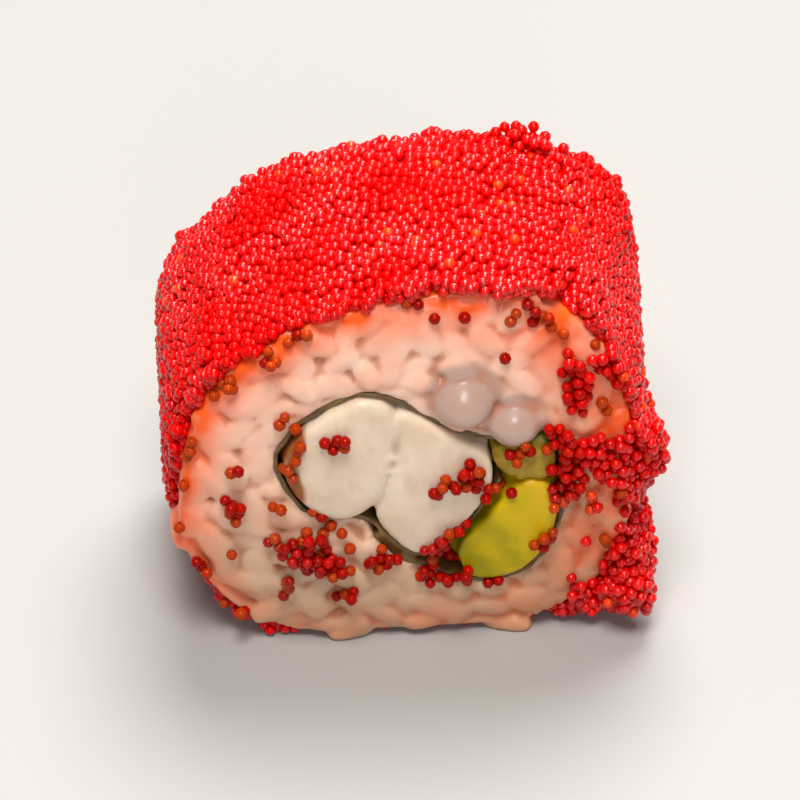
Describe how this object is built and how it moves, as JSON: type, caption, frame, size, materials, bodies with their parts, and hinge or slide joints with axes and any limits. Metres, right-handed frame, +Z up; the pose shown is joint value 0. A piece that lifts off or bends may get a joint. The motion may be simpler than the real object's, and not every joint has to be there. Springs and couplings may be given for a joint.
{
  "type": "california roll",
  "caption": "Slice of inside-out sushi roll on its curved side: rice with a coat of red fish roe round nori, crab meat, avocado and cucumber, cut flat at both ends.",
  "frame": {"origin": "middle of the flat underside that the piece rests on", "axes": "+Z up, +Y along the roll from the front cut to the back cut, +X to the right as the front cut is seen"},
  "size_m": [0.0416, 0.0244, 0.0376],
  "materials": {
    "roe": "wet glossy beads",
    "rice": "moist",
    "nori": "damp satin",
    "crab": "moist",
    "avocado": "satin",
    "cucumber": "moist satin"
  },
  "bodies": {
    "root": {"roe_coat": "roe", "rice_wrap": "rice", "nori_wrap": "nori", "crab_left": "crab", "crab_right": "crab", "avocado": "avocado", "cucumber": "cucumber"}
  },
  "joints": []
}
